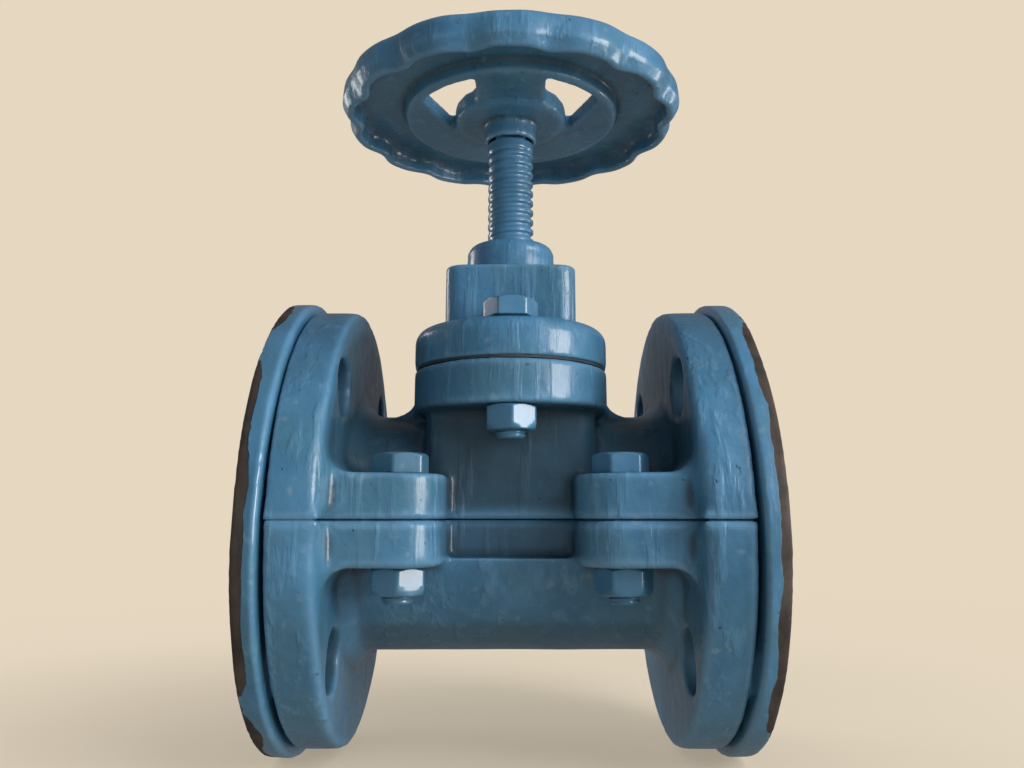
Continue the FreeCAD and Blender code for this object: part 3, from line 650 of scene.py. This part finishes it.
def opened(mesh):
    """The mesh with the two window prisms taken away."""
    body = bpy.data.objects.new("wheel_blank", mesh)
    bpy.context.scene.collection.objects.link(body)
    cutters = []
    for side in (-1, 1):
        low, high = window_cutter(side)
        count = len(low)
        prism = bmesh.new()
        bottom = [prism.verts.new(point) for point in low]
        top = [prism.verts.new(point) for point in high]
        prism.faces.new(bottom)
        prism.faces.new(top)
        for i in range(count):
            after = (i + 1) % count
            prism.faces.new((bottom[i], bottom[after], top[after], top[i]))
        bmesh.ops.recalc_face_normals(prism, faces=prism.faces)
        shape = bpy.data.meshes.new("window_prism")
        prism.to_mesh(shape)
        prism.free()
        cutter = bpy.data.objects.new("window_prism", shape)
        bpy.context.scene.collection.objects.link(cutter)
        taken = body.modifiers.new("window", "BOOLEAN")
        taken.operation = "DIFFERENCE"
        taken.solver = "EXACT"
        taken.object = cutter
        cutters.append(cutter)
    bpy.context.view_layer.update()
    result = bpy.data.meshes.new_from_object(body.evaluated_get(bpy.context.evaluated_depsgraph_get()))
    for item in [body, *cutters]:
        bpy.data.objects.remove(item)
    return result


def make_wheel(blue):
    blank = bpy.data.meshes.new("wheel_blank")
    points, faces = wheel_blank()
    blank.from_pydata(points.tolist(), [], faces.tolist())
    wheel = cast_piece("wheel_casting", opened(blank), 1.0 * MM, 4, nowhere, blue, wave=0.35 * MM)
    fit(wheel, "stem", "blue_casting", "handwheel")


# ---------------------------------------------------------------- rubber sleeve

SLEEVE_BORE = 21.5 * MM
SLEEVE_OUTSIDE = 28.5 * MM


def torn_lip(points):
    """Rings whose outer lip is worn: a sum of sines round the lip sets how deep the rubber has torn."""
    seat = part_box("sleeve_ring_right")[0].x
    end, ring_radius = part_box("sleeve_ring_right")[1].xz
    turn = np.arctan2(points[:, 2], points[:, 1])
    radius = np.hypot(points[:, 1], points[:, 2])
    side = np.sign(points[:, 0])
    waves = 1.2 * np.sin(2 * turn + 1.3) + 0.8 * np.sin(5 * turn + 2 * side)
    rough = np.clip(0.5 + 0.25 * (waves + 0.5 * np.sin(13 * turn + side)), 0, 1)
    lip = smooth_rise(np.abs(points[:, 0]), end - 7.0 * MM, end - 0.5 * MM)
    lip = lip * smooth_rise(radius, ring_radius - 5 * MM, ring_radius - 0.8 * MM)
    end_face = smooth_rise(np.abs(points[:, 0]), end - 1.0 * MM, end - 0.4 * MM)
    torn = np.clip(np.maximum(lip * (0.25 + 0.9 * rough), 0.62 * end_face), 0, 1)
    swell = 0.35 * MM * np.sin(3 * turn + side) * smooth_rise(radius, 60 * MM, 76 * MM)
    shrink = (0.8 * MM * torn * rough + swell - 0.3 * MM) / np.maximum(radius, 1 * MM)
    shrink = shrink * smooth_rise(radius, 60 * MM, 76 * MM)
    points = points * np.stack([np.ones(len(turn)), 1 - shrink, 1 - shrink], 1)
    seam = (0.75 + 0.45 * np.sin(2 * turn + 0.6)) * MM
    inside = 1 - smooth_rise(np.abs(points[:, 0]), seat + 0.5 * MM, seat + 3.5 * MM)
    points[:, 0] += side * seam * inside * smooth_rise(radius, 52 * MM, 70 * MM)
    return points, {"torn": torn}


def make_sleeve(chipped, rubber):
    for node in ("sleeve_ring_left", "sleeve_ring_right"):
        ring = cast_piece(node + "_moulded", nodes[node].data, 0.95 * MM, 3, nowhere, chipped,
                          wave=0.15 * MM, reshape=torn_lip)
        fit(ring, "root", "painted_rubber", node)
    for side, name in ((-1, "sleeve_tube_left"), (1, "sleeve_tube_right")):
        make_sleeve_half(side, name, rubber)


def make_sleeve_half(side, name, rubber):
    """Half of the straight tube, from its middle to an end ring: a long thin rectangle turned about X.

    The compressor takes the top of it down, but this half is made straight and nothing here bends it.
    """
    tube_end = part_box("rubber_sleeve")[1].x
    overlap = 0.2 * MM
    along = np.linspace(-overlap, tube_end + overlap, 72)
    around = full_turn()
    x = np.concatenate([along, along[::-1]])[:, None]
    radius = np.repeat([SLEEVE_BORE, SLEEVE_OUTSIDE], len(along))[:, None]
    rows = np.stack([side * x + 0 * around, radius * np.cos(around), radius * np.sin(around)], 2)
    half = make_piece(name, *looped(rows), rubber)
    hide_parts("rubber_sleeve")
    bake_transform(half)


# ---------------------------------------------------------------- screw

STEM_RADIUS = 9 * MM
THREAD_DEPTH = 2 * MM
THREAD_PITCH = 4 * MM


def soft_least(first, second, blend):
    """The smaller of two lengths, with the corner between them rounded."""
    return -blend * np.logaddexp(-first / blend, -second / blend)


def thread_wave(height, pitch, turn):
    """0 on the crest and 1 in the groove of a fine thread: a cosine that climbs one pitch a turn."""
    return 0.5 + 0.5 * np.cos(2 * math.pi * (height / pitch - turn / (2 * math.pi)))


def make_stem(worn):
    """The screw: its radius falls by the thread's depth away from a crest that climbs one pitch a turn.

    Paint fills part of the groove, and a square, a stud and the button below the thread follow it.
    """
    low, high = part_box("stem")
    thread_low, thread_high, wheel_seat = 63 * MM, 145 * MM, 148 * MM
    neck_low, square_high = 56.4 * MM, 171.5 * MM
    height = np.arange(low.z, high.z, 0.25 * MM)
    around = full_turn()
    z, turn = height[:, None], around[None, :]
    climb = (z - thread_low) / THREAD_PITCH - turn / (2 * math.pi)
    from_crest = np.abs(climb - np.round(climb)) * THREAD_PITCH
    collar_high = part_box("stem_collar")[1].z
    paint_fill = 0.44 + 0.36 * (0.5 - 0.5 * np.cos(turn))
    paint_fill = paint_fill * smooth_rise(z, collar_high - 2 * MM, collar_high + 2 * MM)
    groove = THREAD_DEPTH * (1 - paint_fill) * smooth_rise(from_crest, 0.5 * MM, 1.6 * MM)
    fade = smooth_rise(z, thread_high - 2 * MM, thread_high)
    screw = STEM_RADIUS - groove * (1 - fade)
    square = 6 * MM / (np.abs(np.cos(turn)) ** 14 + np.abs(np.sin(turn)) ** 14) ** (1 / 14) + 0 * z
    button = np.minimum(9.5 * MM, 9.0 * MM + np.minimum(z - low.z, neck_low - z)) + 0 * turn
    neck = 6.2 * MM + 0 * screw
    stud = 6 * MM - 0.45 * MM * thread_wave(z - high.z, 1.75 * MM, turn)
    stud = np.minimum(stud, 4.8 * MM + (high.z - z))
    radius = np.where(z < neck_low, button, np.where(z < thread_low, neck, screw))
    radius = np.where(z > wheel_seat, square, radius)
    radius = np.where(z > square_high, stud, radius)
    corner = np.where((z > thread_low) & (z < thread_high), 0.42 * (1 - groove / THREAD_DEPTH), 0.2)
    points, faces = skinned(place_rows(radius, height, around))
    corner = np.concatenate([(corner + 0 * turn).ravel(), [0, 0]])
    stem = make_piece("stem_screw", points, faces, worn, {"corner": corner})
    fit(stem, "stem", "painted_steel", "stem")


# ---------------------------------------------------------------- bolts and nuts

ACROSS_FLATS = 16 * MM


def hexagon_radius(around, across, turn):
    """Distance from the middle of a hexagon to its side, in each direction."""
    sixth = math.pi / 3
    return across / 2 / np.cos((around - turn) % sixth - sixth / 2)


def hexagon_rows(height, limit, ease, around, across, turn, centre):
    """Rows of a hexagon kept inside a limiting radius and drawn in by the ease of its edges."""
    side = hexagon_radius(around, across, turn)[None, :]
    radius = soft_least(side, limit[:, None], 0.10 * MM) - ease[:, None]
    return place_rows(radius, height, around, centre)


def rounded_side(low, high, chamfer_low, chamfer_high, across):
    """Heights, limiting radii and eases up the side of a hexagon whose ends are chamfered by a cone."""
    soft = 0.35 * MM
    drop = np.cos(np.linspace(0, 1, 7) * math.pi / 2)
    rise = np.concatenate([low + soft * (1 - drop), high - soft * drop])
    body = np.linspace(low + 0.6 * MM, high - 2.4 * MM, 5)
    shoulder = np.linspace(high - 2.2 * MM, high - 0.4 * MM, 10)
    height = np.unique(np.concatenate([rise, body, shoulder]))
    limit = np.full(len(height), across)
    if chamfer_low:
        limit = np.minimum(limit, 0.47 * across + 1.73 * (height - low))
    if chamfer_high:
        limit = np.minimum(limit, 0.47 * across + 1.73 * (high - height))
    near = np.minimum(height - low, high - height)
    ease = soft - np.sqrt(np.maximum(soft ** 2 - np.maximum(soft - near, 0) ** 2, 0))
    return height, limit, ease


def corner_mark(around, across, turn, rows, centre_share):
    """How near each point is to a corner of the hexagon, on the rows of its side."""
    closeness = hexagon_radius(around, across, turn) / (across / 2) - 1
    share = np.clip(closeness / 0.155, 0, 1) ** 3 * 0.55 + 0.12
    return (share[None, :] * centre_share[:, None] + 0 * rows[:, :, 0]).ravel()


def make_bolt(name, turn, head_height, worn):
    """A hexagon bolt, head up: a threaded tail, a shank, and a head chamfered on top."""
    low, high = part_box(name)
    centre = ((low.x + high.x) / 2, (low.y + high.y) / 2)
    head_low = high.z - head_height
    around = full_turn()
    thread_high = low.z + 16 * MM
    pitch, depth, shank = 1.5 * MM, 0.55 * MM, 4.95 * MM
    tail = np.arange(low.z, thread_high, 0.3 * MM)
    from_end = (tail - low.z)[:, None]
    thread = shank - depth * thread_wave(from_end, pitch, around[None, :])
    thread = np.minimum(thread, 4.0 * MM + from_end)
    shaft = np.concatenate([thread, np.full((2, len(around)), shank)])
    shaft_height = np.concatenate([tail, [thread_high, head_low - 0.05 * MM]])
    height, limit, ease = rounded_side(head_low, high.z, False, True, ACROSS_FLATS)
    cap_height = np.full(4, high.z)
    cap_limit = np.array([6.8, 4.5, 2.0, 0.5]) * MM
    height, limit = np.concatenate([height, cap_height]), np.concatenate([limit, cap_limit])
    ease = np.concatenate([ease, np.zeros(4)])
    head = hexagon_rows(height, limit, ease, around, ACROSS_FLATS, turn, centre)
    rows = np.concatenate([place_rows(shaft, shaft_height, around, centre), head])
    points, faces = skinned(rows)
    share = np.concatenate([np.full(len(shaft_height), 0.4), np.ones(len(height) - 4), np.full(4, 0.3)])
    marks = {"corner": np.concatenate([corner_mark(around, ACROSS_FLATS, turn, rows, share), [0, 0]])}
    piece = make_piece(name + "_made", points, faces, worn, marks)
    fit(piece, "root", "painted_steel", name)


def make_nut(name, turn, bore, across, body, slot, finish):
    """A hexagon nut: its side is chamfered at both ends, and its bore closes the loop."""
    low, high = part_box(name)
    centre = ((low.x + high.x) / 2, (low.y + high.y) / 2)
    around = full_turn()
    height, limit, ease = rounded_side(low.z, high.z, True, True, across)
    sink = 0.7 * MM
    bore_height = np.array([high.z, high.z - sink, low.z + sink, low.z])
    bore_radius = np.array([bore + sink, bore, bore, bore + sink])
    height = np.concatenate([height, bore_height])
    limit = np.concatenate([limit, bore_radius])
    ease = np.concatenate([ease, np.zeros(4)])
    rows = hexagon_rows(height, limit, ease, around, across, turn, centre)
    share = np.concatenate([np.ones(len(height) - 4), np.full(4, 0.3)])
    marks = {"corner": corner_mark(around, across, turn, rows, share)}
    piece = make_piece(name + "_made", *looped(rows), finish, marks)
    fit(piece, body, slot, name)


# the turn of each bolt's head and of its nut, in degrees
BODY_TURNS = {"front_left": (22, 38), "front_right": (5, 2), "rear_left": (12, 47), "rear_right": (33, 26)}
BONNET_TURNS = {"front": (4, 34), "rear": (21, 50)}
HEAD_HEIGHT = 6.4 * MM
BOLT_BORE = 5.1 * MM


def make_fasteners(worn):
    for group, turns in (("body", BODY_TURNS), ("bonnet", BONNET_TURNS)):
        for where, (head_turn, nut_turn) in turns.items():
            make_bolt("%s_bolt_%s" % (group, where), math.radians(head_turn), HEAD_HEIGHT, worn)
            make_nut("%s_nut_%s" % (group, where), math.radians(nut_turn), BOLT_BORE, ACROSS_FLATS,
                     "root", "painted_steel", worn)


# ---------------------------------------------------------------- stage

def make_stage():
    """A pale floor round the valve, and past it a sheet that curves up into a wall far away."""
    floor_height = cad_box[0][2] - 0.1 * MM
    near, middle, curve_start, curve, wall = 0.55, 0.9, 1.2, 0.8, 1.6
    around = full_turn()
    count = len(around)
    bend = np.linspace(0, math.pi / 2, 24)
    profile = np.concatenate([
        [(near, 0), (middle, 0)],
        np.stack([curve_start + curve * np.sin(bend), curve * (1 - np.cos(bend))], 1),
        [(curve_start + curve, curve + wall)]])
    rows = place_rows(np.repeat(profile[:, :1], count, 1), profile[:, 1] + floor_height, around)
    here = np.arange((len(rows) - 1) * count)
    right = here // count * count + (here + 1) % count
    quads = np.stack([here, here + count, right + count, right], 1)
    finish = pale_paper()
    backdrop = make_piece("studio_wall", rows.reshape(-1, 3), quads, finish)
    floor = make_piece("studio_floor", rows[0], np.arange(count)[None, :], finish)
    backdrop.visible_diffuse = False
    for sheet in (floor, backdrop):
        sheet.visible_glossy = False
        sheet.visible_shadow = False


def pale_paper():
    """Lit paper under the valve that turns, with distance, into an even glow."""
    finish = Finish("pale_paper")
    colour = finish.mix(finish.noise(40, 4) * 0.25, FLOOR, FLOOR_SHADE)
    paper = finish.node("ShaderNodeBsdfPrincipled", {}, {"Base Color": colour, "Roughness": 0.85})
    glow = finish.node("ShaderNodeEmission", {}, {"Color": PALE, "Strength": 1.0})
    spot = finish.node("ShaderNodeVectorMath", {"operation": "LENGTH"}, {0: finish.place}, "Value")
    share = 0.38 + spot.step(0.05, 0.38) * 0.50 + spot.step(0.2, 0.8) * 0.12
    return finish.closed(finish.node("ShaderNodeMixShader", {}, {0: share, 1: paper, 2: glow}))


# ---------------------------------------------------------------- everything

blue = enamel("blue_enamel")
chipped = chipped_enamel("enamel_on_rubber")
worn = worn_enamel("enamel_on_steel")
rubber = soft_stuff("sleeve_rubber", (0.012, 0.012, 0.012, 1), (0.030, 0.028, 0.026, 1), 0.6)
black = soft_stuff("wiper_rubber", (0.010, 0.010, 0.010, 1), (0.022, 0.022, 0.022, 1), 0.5)
fibre = soft_stuff("gasket_fibre", (0.014, 0.022, 0.028, 1), (0.035, 0.045, 0.050, 1), 0.8)
bronze = plain_metal("bronze", (0.42, 0.24, 0.10, 1), (0.60, 0.38, 0.18, 1), 0.35, 1.0)
iron = plain_metal("bare_iron", (0.10, 0.095, 0.09, 1), (0.22, 0.20, 0.185, 1), 0.55, 0.8)
zinc = plain_metal("zinc_plate", (0.45, 0.46, 0.47, 1), (0.66, 0.67, 0.68, 1), 0.32, 1.0)

make_castings(blue)
make_wheel(blue)
make_sleeve(chipped, rubber)
make_stem(worn)
make_fasteners(worn)
make_nut("handwheel_nut", math.radians(12), 6.1 * MM, 18.4 * MM, "stem", "zinc_steel", zinc)

KEPT_FINISHES = {
    "bonnet_gasket": fibre, "stem_wiper": black, "stem_bush": bronze, "thrust_washer": bronze,
    "compressor": iron, "stem_retainer": zinc, "retainer_screws": zinc, "handwheel_washer": zinc,
}
for node, finish in KEPT_FINISHES.items():
    mesh = nodes[node].data
    mesh.materials.clear()
    mesh.materials.append(finish)

put_camera()
put_lights()
make_stage()
